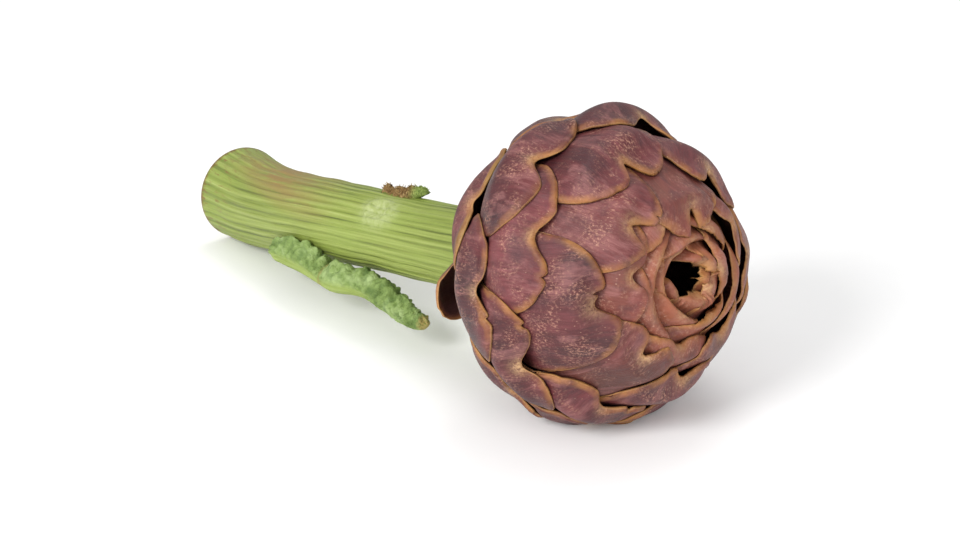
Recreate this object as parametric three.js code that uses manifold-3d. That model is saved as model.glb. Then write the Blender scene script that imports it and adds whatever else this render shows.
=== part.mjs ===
// A purple globe artichoke, as cut, lying on its side: millimetres, +Z up.
// +X runs from the cut end of the stem to the tip of the head.
// The origin is under the middle of the whole, on the surface that it lies on.
import * as THREE from "three";
import { LoftGeometry } from "three/addons/geometries/LoftGeometry.js";
import { ParametricGeometry } from "three/addons/geometries/ParametricGeometry.js";
import { mergeVertices } from "three/addons/utils/BufferGeometryUtils.js";
import Module from "manifold-3d";

const wasm = await Module();
wasm.setup();

// The head: an ellipsoid of overlapping bracts, whose axis leans up out of the surface.
const HEAD_RADIUS = 50;
const HEAD_HALF_LENGTH = 41;
const HEAD_RISE_DEGREES = 12;
const REST_DEPTH = 47.7; // how far under the head's centre the surface lies

// The spiral of bracts. Colatitudes are measured in degrees from the head's tip.
const BRACT_COUNT = 53;
const GOLDEN_ANGLE = 137.508;
const FIRST_BRACT_ANGLE = 111.1;
const LAYER_STEP = 0.66; // each bract lies this much deeper than the one before it
const SHOULDER_BRACT = 22; // from here on the bracts crowd together towards the tip
const SHOULDER_COLATITUDE = 59;
const ROW_SPACING = 3.9;
const CROWDING = 0.066;
const HOLLOW_COLATITUDE = 10;

// One bract.
const BRACT_HALF_SPREAD = 33; // degrees round the head's axis
const BRACT_THICKNESS = 1.3;
const OUTER_BASE_COLATITUDE = 158;
const INNER_BASE_COLATITUDE = 120;
const HEART_CLEARANCE = 1.3; // from the bracts' thin bases in to the side of the heart
const LOBE_REACH = 9; // degrees that the two lobes reach past the notch between them
const ACROSS = [-1, -0.8, -0.42, 0, 0.42, 0.8, 1];
const ALONG = [0, 0.13, 0.29, 0.45, 0.6, 0.75, 0.89, 1];

// Some bracts stand a little turned from the even spiral, by this many degrees.
const BRACT_SWAY = { 2: -1.5, 4: -2, 6: -1.5, 15: 2, 18: 1.5, 21: -3, 29: 3, 30: 1.5, 37: 1.5 };

// The stem: its centre line from inside the head to the cut end, and its radius there.
const STEM_PATH = [
  [-25, 0, -5.3, 13],
  [-38, 0, -8, 14.2],
  [-50, 0, -10.2, 14],
  [-70, 0, -13.1, 13.7],
  [-95, 0, -16.4, 13.6],
  [-120, 1, -20.4, 13.8],
  [-145, 4, -25.6, 14.3],
  [-166, 8, -29.6, 15.3],
  [-187, 13, -31.9, 16.9],
];
const STEM_RIBS = 24;
const RIB_HEIGHT = 0.35;
const STEM_STEPS = 16;

// The curled leaf: its centre line from the stem to the free end, its half height and half thickness.
const LEAF_PATH = [
  [-143, -12, -30.8, 1.8, 1],
  [-134, -13.6, -30.4, 2.8, 1.5],
  [-124, -14.9, -30.2, 3.6, 2],
  [-108, -15.4, -29.8, 4.2, 2.3],
  [-92, -15, -31, 4.6, 2.6],
  [-77, -14.8, -33.2, 4.6, 2.6],
  [-66, -15, -35.2, 3.6, 2.2],
  [-59, -15.2, -36, 2.4, 1.6],
];
const LEAF_STEPS = 20;
const LEAF_CRINKLE = 0.7;

const COLOURS = {
  bract: "#73484a",
  innerBract: "#9c6a58",
  stem: "#9fb45f",
  leaf: "#8fa463",
  stub: "#8a7a4a",
  choke: "#b59a8c",
};

const radians = THREE.MathUtils.degToRad;
const lerp = THREE.MathUtils.lerp;
const clamp = THREE.MathUtils.clamp;

// A value part-way along a list, where 0 is its first entry and 1 is its last.
function alongList(list, fraction) {
  const place = clamp(fraction, 0, 1) * (list.length - 1);
  const start = Math.min(Math.floor(place), list.length - 2);
  return lerp(list[start], list[start + 1], place - start);
}

// A surface that wraps round on itself becomes one closed solid once its seams are merged.
function closedSolid(geometry) {
  const plain = new THREE.BufferGeometry();
  plain.setAttribute("position", geometry.attributes.position);
  plain.setIndex(geometry.index);
  const merged = mergeVertices(plain, 1e-3);
  const kept = [];
  for (let k = 0; k < merged.index.count; k += 3) {
    const [a, b, c] = [0, 1, 2].map((corner) => merged.index.getX(k + corner));
    if (a !== b && b !== c && c !== a) {
      kept.push(a, b, c);
    }
  }
  merged.setIndex(kept);
  return merged;
}

function toManifold(geometry) {
  return new wasm.Manifold(
    new wasm.Mesh({
      numProp: 3,
      vertProperties: new Float32Array(geometry.attributes.position.array),
      triVerts: new Uint32Array(geometry.index.array),
    }),
  );
}

function fromManifold(solid) {
  const mesh = solid.getMesh();
  const geometry = new THREE.BufferGeometry();
  geometry.setAttribute("position", new THREE.BufferAttribute(mesh.vertProperties, 3));
  geometry.setIndex(new THREE.BufferAttribute(mesh.triVerts, 1));
  return geometry;
}

// The head's pieces are shaped round a vertical axis and then leant over to lie along +X.
function leanOver(geometry) {
  return geometry.rotateY(radians(90 - HEAD_RISE_DEGREES));
}

// Whatever dips below the surface is flattened against it.
function flattenUnderneath(geometry) {
  geometry.computeBoundingBox();
  if (geometry.boundingBox.min.z > -REST_DEPTH) {
    return geometry;
  }
  const slab = closedSolid(new THREE.BoxGeometry(400, 200, 40));
  slab.translate(0, 0, -REST_DEPTH - 20);
  return fromManifold(toManifold(geometry).subtract(toManifold(slab)));
}

// Where the notch at a bract's end lies.
function notchColatitude(index) {
  if (index <= SHOULDER_BRACT) {
    return SHOULDER_COLATITUDE + ROW_SPACING * (SHOULDER_BRACT - index);
  }
  return Math.max(HOLLOW_COLATITUDE, SHOULDER_COLATITUDE * Math.exp(-CROWDING * (index - SHOULDER_BRACT)));
}

// The bract, as a fractional index, whose notch would lie at this colatitude.
function layerAt(colatitude) {
  if (colatitude > SHOULDER_COLATITUDE) {
    return SHOULDER_BRACT - (colatitude - SHOULDER_COLATITUDE) / ROW_SPACING;
  }
  return SHOULDER_BRACT - Math.log(Math.max(colatitude, 2) / SHOULDER_COLATITUDE) / CROWDING;
}

function baseColatitude(index) {
  return lerp(OUTER_BASE_COLATITUDE, INNER_BASE_COLATITUDE, index / (BRACT_COUNT - 1));
}

// How deep under the head's outer surface a bract lies: nothing at its notch, most at its base.
function depthOf(index, colatitude) {
  return LAYER_STEP * (index - layerAt(colatitude));
}

// A point of the head, from its colatitude, its angle round the axis and its depth.
function headPoint(colatitude, angle, depth, target) {
  const across = (HEAD_RADIUS - depth) * Math.sin(radians(colatitude));
  return target.set(
    across * Math.cos(radians(angle)),
    across * Math.sin(radians(angle)),
    (HEAD_HALF_LENGTH - depth) * Math.cos(radians(colatitude)),
  );
}

// The outline of a bract's end, from edge (-1) to edge (1): two lobes either side of a notch.
function endColatitude(index, across) {
  const notch = notchColatitude(index);
  const length = baseColatitude(index) - notch;
  const lobe = Math.min(LOBE_REACH * clamp((38 - index) / 8, 0, 1), 0.3 * length);
  const shoulder = Math.min(26, 0.55 * length);
  const roundness = index < 36 ? 2.6 : 1.8;
  const lobeShare = 1 - Math.exp(-((across / 0.22) ** 2));
  const fall = 1 - (1 - Math.abs(across) ** roundness) ** (1 / roundness);
  return notch - lobe * lobeShare + shoulder * fall;
}

// A bract is narrower at its base, widest past its middle and a little narrower at its end.
function spreadShare(along) {
  return 0.78 + 0.22 * Math.sin(radians(90 * Math.min(along / 0.6, 1))) - 0.07 * Math.max(0, (along - 0.6) / 0.4);
}

// The lowest bracts on one side of the neck stand away from the head.
function flare(colatitude, angle, depth) {
  const low = THREE.MathUtils.smoothstep(colatitude, 120, 133);
  const turn = THREE.MathUtils.euclideanModulo(angle - 285 + 180, 360) - 180;
  return 5.5 * low * Math.exp(-((turn / 42) ** 2)) * clamp(1 - depth / 7, 0, 1.3);
}

// The short scales at the neck are thinner than the rest.
function bractThickness(index) {
  const length = baseColatitude(index) - notchColatitude(index);
  return BRACT_THICKNESS * clamp(length / 36, 0.4, 1);
}

function bractPoint(index, across, along, inside, target) {
  const thickness = bractThickness(index);
  const colatitude = lerp(baseColatitude(index), endColatitude(index, across), along);
  const axisAngle = FIRST_BRACT_ANGLE - GOLDEN_ANGLE * index + (BRACT_SWAY[index] ?? 0);
  const angle = axisAngle + across * BRACT_HALF_SPREAD * spreadShare(along);
  const thinning = Math.min(1, along / 0.1, (1 - along) / 0.16);
  const depth =
    depthOf(index, colatitude) +
    thickness * across ** 2 +
    inside * thickness * (1 - across ** 2) * thinning;
  return headPoint(colatitude, angle, depth - flare(colatitude, angle, depth), target);
}

// A bract's outer face from edge to edge, then back across its inner face.
function bractGeometry(index) {
  const wrap = new ParametricGeometry(
    (round, along, target) => {
      const inside = round > 0.5 ? 1 : 0;
      const across = alongList(ACROSS, inside ? 2 - 2 * round : 2 * round);
      return bractPoint(index, across, alongList(ALONG, along), inside, target);
    },
    2 * (ACROSS.length - 1),
    ALONG.length - 1,
  );
  return flattenUnderneath(leanOver(closedSolid(wrap)));
}

// The side of the heart: it passes just inside the bases of all the bracts.
function heartSide() {
  const side = [];
  for (let index = 0; index < BRACT_COUNT; index += 4) {
    const base = headPoint(baseColatitude(index), 0, depthOf(index, baseColatitude(index)), new THREE.Vector3());
    side.push(new THREE.Vector2(base.x - HEART_CLEARANCE, base.z - 0.6 * HEART_CLEARANCE));
  }
  return side;
}

function latheOnAxis(profile, segments) {
  const lathe = closedSolid(new THREE.LatheGeometry(profile, segments));
  return leanOver(lathe.rotateX(Math.PI / 2));
}

function heartGeometry() {
  const side = heartSide();
  const rim = side[side.length - 1];
  const profile = [
    new THREE.Vector2(0, -46),
    new THREE.Vector2(13, -46),
    new THREE.Vector2(14.2, -41.5),
    new THREE.Vector2(15.6, -38.6),
    ...side,
    new THREE.Vector2(rim.x - 2.2, rim.y + 0.4),
    new THREE.Vector2(0, rim.y - 0.4),
  ];
  return latheOnAxis(profile, 36);
}

// Rings of points round a curve, each ring made by its own outline function.
function ringsAlong(path, steps, outline) {
  const curve = new THREE.CatmullRomCurve3(path.map(([x, y, z]) => new THREE.Vector3(x, y, z)));
  const rings = [];
  for (let step = 0; step <= steps; step += 1) {
    const t = step / steps;
    const centre = curve.getPoint(t);
    const tangent = curve.getTangent(t);
    const side = new THREE.Vector3(0, 0, 1).cross(tangent).normalize();
    const up = tangent.clone().cross(side);
    rings.push(outline(t, centre, side, up));
  }
  return rings;
}

function stemRing(t, centre, side, up) {
  const radius = alongList(STEM_PATH.map((row) => row[3]), t);
  const ring = [];
  for (let k = 0; k < 2 * STEM_RIBS; k += 1) {
    const turn = (Math.PI * k) / STEM_RIBS;
    const reach = radius + (k % 2 === 0 ? RIB_HEIGHT : -RIB_HEIGHT);
    const point = centre.clone().addScaledVector(side, reach * Math.cos(turn));
    ring.push(point.addScaledVector(up, reach * Math.sin(turn)));
  }
  return ring;
}

function stemAndHeartGeometry() {
  const rings = ringsAlong(STEM_PATH, STEM_STEPS, stemRing);
  const stem = closedSolid(new LoftGeometry(rings, { closed: true, capStart: true, capEnd: true }));
  const joined = toManifold(stem).add(toManifold(heartGeometry()));
  return flattenUnderneath(fromManifold(joined));
}

// The leaf is curled lengthwise, so its section is a tall rounded strip with a wavy upper edge.
function leafRing(t, centre, side, up) {
  const halfHeight = alongList(LEAF_PATH.map((row) => row[3]), t);
  const halfThickness = alongList(LEAF_PATH.map((row) => row[4]), t);
  const wave = LEAF_CRINKLE * Math.sin(t * 47) * Math.sin(Math.PI * t);
  const ring = [];
  for (let k = 0; k < 10; k += 1) {
    const turn = (2 * Math.PI * k) / 10;
    const rise = Math.sin(turn) * halfHeight + (Math.sin(turn) > 0 ? wave : 0);
    const point = centre.clone().addScaledVector(side, halfThickness * Math.cos(turn));
    ring.push(point.addScaledVector(up, rise));
  }
  return ring;
}

function leafGeometry() {
  const rings = ringsAlong(LEAF_PATH, LEAF_STEPS, leafRing);
  return closedSolid(new LoftGeometry(rings, { closed: true, capStart: true, capEnd: true }));
}

// A low ragged crest with a lifted flap at its head end.
function stubGeometry() {
  const outline = new THREE.Shape();
  outline.moveTo(-11, 0);
  outline.lineTo(-10.2, 1.6);
  outline.lineTo(-7, 2.4);
  outline.lineTo(-5.4, 1.8);
  outline.lineTo(-2, 2.8);
  outline.lineTo(1.5, 2.2);
  outline.lineTo(3.2, 3.6);
  outline.lineTo(6, 4.4);
  outline.lineTo(7.4, 3.5);
  outline.lineTo(9.6, 4.2);
  outline.lineTo(11, 2.4);
  outline.lineTo(8.6, 1.4);
  outline.lineTo(4, 0);
  outline.closePath();
  const crest = new THREE.ExtrudeGeometry(outline, { depth: 3.4, bevelEnabled: false });
  crest.translate(0, 0, -1.7);
  crest.rotateX(Math.PI / 2);
  crest.rotateY(radians(-8.3));
  return closedSolid(crest).translate(-92, 3, -2);
}

// The choke: a cushion of unopened florets that fills the space over the heart.
function chokeGeometry() {
  const profile = [
    new THREE.Vector2(0, -5.9),
    new THREE.Vector2(14.6, -5.7),
    new THREE.Vector2(16.4, -3.5),
    new THREE.Vector2(16.6, 0),
    new THREE.Vector2(14.6, 4.5),
    new THREE.Vector2(10, 8),
    new THREE.Vector2(5, 9.6),
    new THREE.Vector2(0, 10),
  ];
  return latheOnAxis(profile, 24);
}

function named(name, geometry, color, roughness) {
  geometry.computeVertexNormals();
  const mesh = new THREE.Mesh(geometry, new THREE.MeshStandardMaterial({ color, roughness, metalness: 0 }));
  mesh.name = name;
  return mesh;
}

function bractMesh(index) {
  const color = index < 40 ? COLOURS.bract : COLOURS.innerBract;
  return named(`bract_${String(index).padStart(2, "0")}`, bractGeometry(index), color, 0.6);
}

const artichoke = new THREE.Group();
artichoke.name = "artichoke";
for (let index = 0; index < BRACT_COUNT; index += 1) {
  artichoke.add(bractMesh(index));
}
artichoke.add(named("stem_and_heart", stemAndHeartGeometry(), COLOURS.stem, 0.55));
artichoke.add(named("choke", chokeGeometry(), COLOURS.choke, 0.85));
artichoke.add(named("curled_leaf", leafGeometry(), COLOURS.leaf, 0.7));
artichoke.add(named("torn_leaf_base", stubGeometry(), COLOURS.stub, 0.85));

const extent = new THREE.Box3().setFromObject(artichoke);
const middle = extent.getCenter(new THREE.Vector3());
artichoke.position.set(-middle.x, -middle.y, -extent.min.z);

export default artichoke;
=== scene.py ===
"""A purple globe artichoke lying on its side, built as an add-on's operators."""
import math

import bmesh
import bpy
import numpy as np
from mathutils import Matrix, Vector


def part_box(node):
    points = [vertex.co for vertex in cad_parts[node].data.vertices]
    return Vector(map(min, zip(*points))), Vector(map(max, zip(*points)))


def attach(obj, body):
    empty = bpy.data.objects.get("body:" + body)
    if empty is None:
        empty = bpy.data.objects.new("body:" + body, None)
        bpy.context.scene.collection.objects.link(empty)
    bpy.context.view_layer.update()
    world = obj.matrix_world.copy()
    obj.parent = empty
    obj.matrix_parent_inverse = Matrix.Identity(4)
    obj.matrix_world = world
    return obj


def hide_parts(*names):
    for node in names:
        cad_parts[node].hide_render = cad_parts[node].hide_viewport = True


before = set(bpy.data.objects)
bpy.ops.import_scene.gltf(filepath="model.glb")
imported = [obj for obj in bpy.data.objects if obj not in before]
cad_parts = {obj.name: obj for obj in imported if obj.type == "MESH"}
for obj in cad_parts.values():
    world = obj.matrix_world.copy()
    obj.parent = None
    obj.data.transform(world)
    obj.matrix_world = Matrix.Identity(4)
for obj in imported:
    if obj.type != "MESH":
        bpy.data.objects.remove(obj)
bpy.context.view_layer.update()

bl_info = {
    "name": "Globe artichoke",
    "version": (1, 0, 0),
    "blender": (4, 5, 0),
    "location": "3D View > Sidebar > Artichoke",
    "description": "Builds a cut globe artichoke on its stem",
    "category": "Add Mesh",
}

# Lengths are in millimetres from the head's centre until a mesh is made, and angles in degrees.
MM = 0.001
HEAD_RADIUS = 50.0
HEAD_HALF_LENGTH = 41.0
HEAD_RISE = 12.0
REST_DEPTH = 47.7
CHOKE_FRONT = 10.43

BRACT_COUNT = 53
GOLDEN_ANGLE = 137.508
FIRST_BRACT_ANGLE = 111.1
LAYER_STEP = 0.66
SHOULDER_BRACT = 22
SHOULDER_COLATITUDE = 59.0
ROW_SPACING = 3.9
CROWDING = 0.066
HOLLOW_COLATITUDE = 2.0
BRACT_HALF_SPREAD = 33.0
OUTER_BASE = 158.0
INNER_BASE = 120.0
LOBE_REACH = 9.0
LEANING_SIDE = 80.0  # the innermost bracts reach over the hollow from this side
FIRST_INNER_BRACT = 40

# Each listed bract's turn round the axis and shift along it, away from the even spiral. The turns of 2, 6,
# 18, 21, 29 and 37 only repeat those of the solids they stand for: real bracts weren't followed there.
BRACT_SHIFTS = {
    2: (-1.5, 0), 4: (-11, 4), 6: (-1.5, 0), 12: (2, 2), 15: (3, -2), 17: (-1, 5), 18: (1.5, 0),
    20: (-1, 4), 21: (-3, 0), 22: (4, 8), 23: (5, -4), 25: (-5, -5), 28: (1, -6), 29: (3, 0),
    30: (4, -1), 31: (6, -9), 37: (1.5, 0),
}
# Bracts whose two lobes are far from equal: the left lobe's and the right lobe's share.
BRACT_LOBES = {17: (1.25, 0.8), 15: (0.9, 1.2), 20: (0.8, 1.2), 25: (0.6, 1.1), 23: (1.2, 0.9), 4: (0.1, 0.1)}
# Bracts narrower than the rule has them, by this share.
BRACT_WIDTHS = {4: 0.6}
# Short splits in a bract's end: where across it, how deep in degrees and how wide.
BRACT_SPLITS = {17: (-0.55, 3.0, 0.03), 12: (0.3, 2.5, 0.03), 25: (-0.2, 3.5, 0.035), 9: (0.4, 3, 0.03),
                20: (0.5, 2.4, 0.03), 28: (-0.5, 2.0, 0.03), 22: (0.35, 2.5, 0.03)}

STEM_PATH = np.array([
    (-50, 0, -10.2, 14), (-70, 0, -13.1, 13.7), (-95, 0, -16.4, 13.6), (-120, 1, -20.4, 13.8),
    (-145, 4, -25.6, 14.3), (-166, 8, -29.6, 15.3), (-187, 13, -31.9, 16.9),
], float)
LEAF_PATH = np.array([
    (-143, -12.2, -34, 3.0, 1.4), (-132, -13.4, -30.8, 5.6, 2.4), (-123, -14.2, -29.9, 6.0, 3.0),
    (-115, -13.8, -31.6, 5.6, 3.1), (-108.5, -13.3, -33.0, 5.6, 3.4), (-97.2, -13.6, -30.9, 5.2, 3.6),
    (-89.3, -13.5, -30.8, 4.7, 3.7), (-81, -13.7, -32.1, 4.8, 3.6), (-73.3, -14, -34.2, 4.3, 3.2),
    (-67.2, -14.4, -35.4, 3.4, 2.6), (-61.4, -14.6, -35.4, 1.6, 1.6),
], float)

LEAF_LENGTH = 84.0
LEAF_CREASE = 0.36
# Where the torn base of a leaf stands on the stem, and how far it leans.
TORN_BASE = (-89.5, 3, -2.6)
TORN_BASE_TILT = 8.3
# Where a leaf once grew on the stem: a pale scar with a raised ring round it.
SCAR = (-91.0, -8.3, -5.0)

# The camera: its direction and distance from the point it looks at, and that point from the head's centre.
CAMERA_AZIMUTH = 44.3
CAMERA_ELEVATION = 24.0
CAMERA_DISTANCE = 0.8
CAMERA_TARGET = (-0.064479, 0.013097, -0.025318)


# ---------------------------------------------------------------- small helpers

def lerp(a, b, share):
    return a + (b - a) * share


def smoothstep(value, low, high):
    share = np.clip((value - low) / (high - low), 0, 1)
    return share * share * (3 - 2 * share)


def wrapped(angle):
    return (angle + 180.0) % 360.0 - 180.0


def waves(rng, count, falloff, *places):
    """A smooth random field: a few sine waves over the places given, about 1 high in all."""
    total = 0.0
    for k in range(1, count + 1):
        wave = rng.uniform(0, 2 * math.pi)
        for place in places:
            wave = wave + place * rng.uniform(-1, 1) * k
        total = total + np.sin(wave) / k ** falloff
    return total


def lean_over(points):
    """Turns points round a vertical axis over, so that the axis lies along the head's own."""
    turn = math.radians(90 - HEAD_RISE)
    x, y, z = points[..., 0], points[..., 1], points[..., 2]
    return np.stack([
        x * math.cos(turn) + z * math.sin(turn), y, -x * math.sin(turn) + z * math.cos(turn),
    ], -1)


def head_centre():
    """The head's centre in the row frame, in metres, from where the choke's front lies."""
    low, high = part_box("choke")
    return np.array([high[0] - CHOKE_FRONT * MM, 0.5 * (low[1] + high[1]), REST_DEPTH * MM])


def to_row(points):
    """Millimetres from the head's centre to metres in the row frame, nothing under the surface."""
    placed = points * MM + HEAD_CENTRE
    placed[..., 2] = np.maximum(placed[..., 2], 0.0)
    return placed


def linear(red, green, blue):
    """A colour given as it looks on a screen, 0 to 255, as the shader wants it."""
    def one(level):
        level /= 255.0
        return level / 12.92 if level <= 0.04045 else ((level + 0.055) / 1.055) ** 2.4
    return (one(red), one(green), one(blue), 1.0)


def mesh_object(name, points, faces, attributes):
    """An object at the origin whose vertices carry named numbers and vectors."""
    mesh = bpy.data.meshes.new(name)
    mesh.from_pydata([tuple(p) for p in points.reshape(-1, 3).tolist()], [], faces)
    for title, values in attributes.items():
        values = np.asarray(values, np.float32)
        if values.ndim > 1 and values.shape[-1] == 3:
            layer = mesh.attributes.new(title, "FLOAT_VECTOR", "POINT")
            layer.data.foreach_set("vector", values.reshape(-1))
        else:
            layer = mesh.attributes.new(title, "FLOAT", "POINT")
            layer.data.foreach_set("value", values.reshape(-1))
    mesh.validate()
    mesh.polygons.foreach_set("use_smooth", [True] * len(mesh.polygons))
    mesh.update()
    made = bpy.data.objects.new(name, mesh)
    bpy.context.scene.collection.objects.link(made)
    return made


def declare(piece, slot, *nodes):
    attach(piece, "root")
    if nodes:
        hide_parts(*nodes)


def catmull_rom(rows, shares):
    """Points at even shares of a smooth curve through the rows, and their directions."""
    padded = np.vstack([2 * rows[0] - rows[1], rows, 2 * rows[-1] - rows[-2]])
    place = np.clip(shares, 0, 1) * (len(rows) - 1)
    start = np.minimum(place.astype(int), len(rows) - 2)
    t = (place - start)[:, None]
    p0, p1, p2, p3 = (padded[start + k] for k in range(4))
    points = 0.5 * (2 * p1 + (p2 - p0) * t + (2 * p0 - 5 * p1 + 4 * p2 - p3) * t ** 2
                    + (3 * p1 - p0 - 3 * p2 + p3) * t ** 3)
    slopes = 0.5 * ((p2 - p0) + 2 * (2 * p0 - 5 * p1 + 4 * p2 - p3) * t
                    + 3 * (3 * p1 - p0 - 3 * p2 + p3) * t ** 2)
    slopes = slopes[:, :3]
    return points, slopes / np.linalg.norm(slopes, axis=1)[:, None]


def ring_faces(ring_count, around):
    """Faces of a tube of rings whose first and last rings are closed by one point each."""
    faces = []
    for row in range(ring_count - 1):
        for k in range(around):
            after = (k + 1) % around
            faces.append((row * around + k, row * around + after,
                          (row + 1) * around + after, (row + 1) * around + k))
    tip, last = ring_count * around, (ring_count - 1) * around
    faces += [(tip, (k + 1) % around, k) for k in range(around)]
    faces += [(tip + 1, last + k, last + (k + 1) % around) for k in range(around)]
    return faces


# ---------------------------------------------------------------- materials

class Nodes:
    """A node tree, built node by node."""

    def node(self, kind, inputs=None, **settings):
        made = self.tree.nodes.new(kind)
        for key, value in settings.items():
            setattr(made, key, value)
        for key, value in (inputs or {}).items():
            if isinstance(value, bpy.types.NodeSocket):
                self.tree.links.new(value, made.inputs[key])
            else:
                made.inputs[key].default_value = value
        return made

    def math(self, operation, a, b):
        return self.node("ShaderNodeMath", {0: a, 1: b}, operation=operation).outputs[0]

    def times(self, a, b):
        return self.math("MULTIPLY", a, b)

    def plus(self, a, b):
        return self.math("ADD", a, b)


class Painter(Nodes):
    """Builds one procedural material."""

    def __init__(self, name):
        self.material = bpy.data.materials.new(name)
        self.material.use_nodes = True
        self.tree = self.material.node_tree
        self.shader = self.tree.nodes["Principled BSDF"]

    def attribute(self, name):
        return self.node("ShaderNodeAttribute", attribute_name=name)

    def number(self, name):
        return self.attribute(name).outputs["Fac"]

    def vector(self, name):
        return self.attribute(name).outputs["Vector"]

    def stretched(self, vector, scale, turn=0.0):
        mapping = self.node("ShaderNodeMapping", {"Vector": vector, "Scale": scale})
        mapping.inputs["Rotation"].default_value = (0, 0, math.radians(turn))
        return mapping.outputs[0]

    def noise(self, vector, scale, detail=3.0, roughness=0.55, distortion=0.0):
        return self.node("ShaderNodeTexNoise", {
            "Vector": vector, "Scale": scale, "Detail": detail, "Roughness": roughness,
            "Distortion": distortion,
        }).outputs["Fac"]

    def cells(self, vector, scale, feature="F1"):
        return self.node("ShaderNodeTexVoronoi", {"Vector": vector, "Scale": scale},
                         feature=feature).outputs["Distance"]

    def ramp(self, share, *stops):
        made = self.node("ShaderNodeValToRGB", {"Fac": share})
        steps = made.color_ramp.elements
        while len(steps) < len(stops):
            steps.new(0.5)
        for step, (place, colour) in zip(steps, stops):
            step.position = place
            step.color = colour if isinstance(colour, tuple) else (colour, colour, colour, 1)
        return made.outputs["Color"]

    def between(self, value, low, high, start=0.0, end=1.0):
        return self.node("ShaderNodeMapRange", {
            "Value": value, "From Min": low, "From Max": high, "To Min": start, "To Max": end,
        }).outputs[0]

    def mix(self, share, a, b):
        made = self.node("ShaderNodeMix", data_type="RGBA")
        for socket, value in ((made.inputs[0], share), (made.inputs[6], a), (made.inputs[7], b)):
            if isinstance(value, bpy.types.NodeSocket):
                self.tree.links.new(value, socket)
            else:
                socket.default_value = value
        return made.outputs[2]

    def bump(self, height, depth_mm, strength=1.0, onto=None):
        inputs = {"Height": height, "Distance": depth_mm * MM, "Strength": strength}
        if onto is not None:
            inputs["Normal"] = onto
        return self.node("ShaderNodeBump", inputs).outputs[0]

    def finish(self, colour, roughness, normal, specular=0.4):
        links = self.tree.links
        links.new(colour, self.shader.inputs["Base Color"])
        if isinstance(roughness, bpy.types.NodeSocket):
            links.new(roughness, self.shader.inputs["Roughness"])
        else:
            self.shader.inputs["Roughness"].default_value = roughness
        links.new(normal, self.shader.inputs["Normal"])
        self.shader.inputs["Specular IOR Level"].default_value = specular
        return self.material


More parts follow.
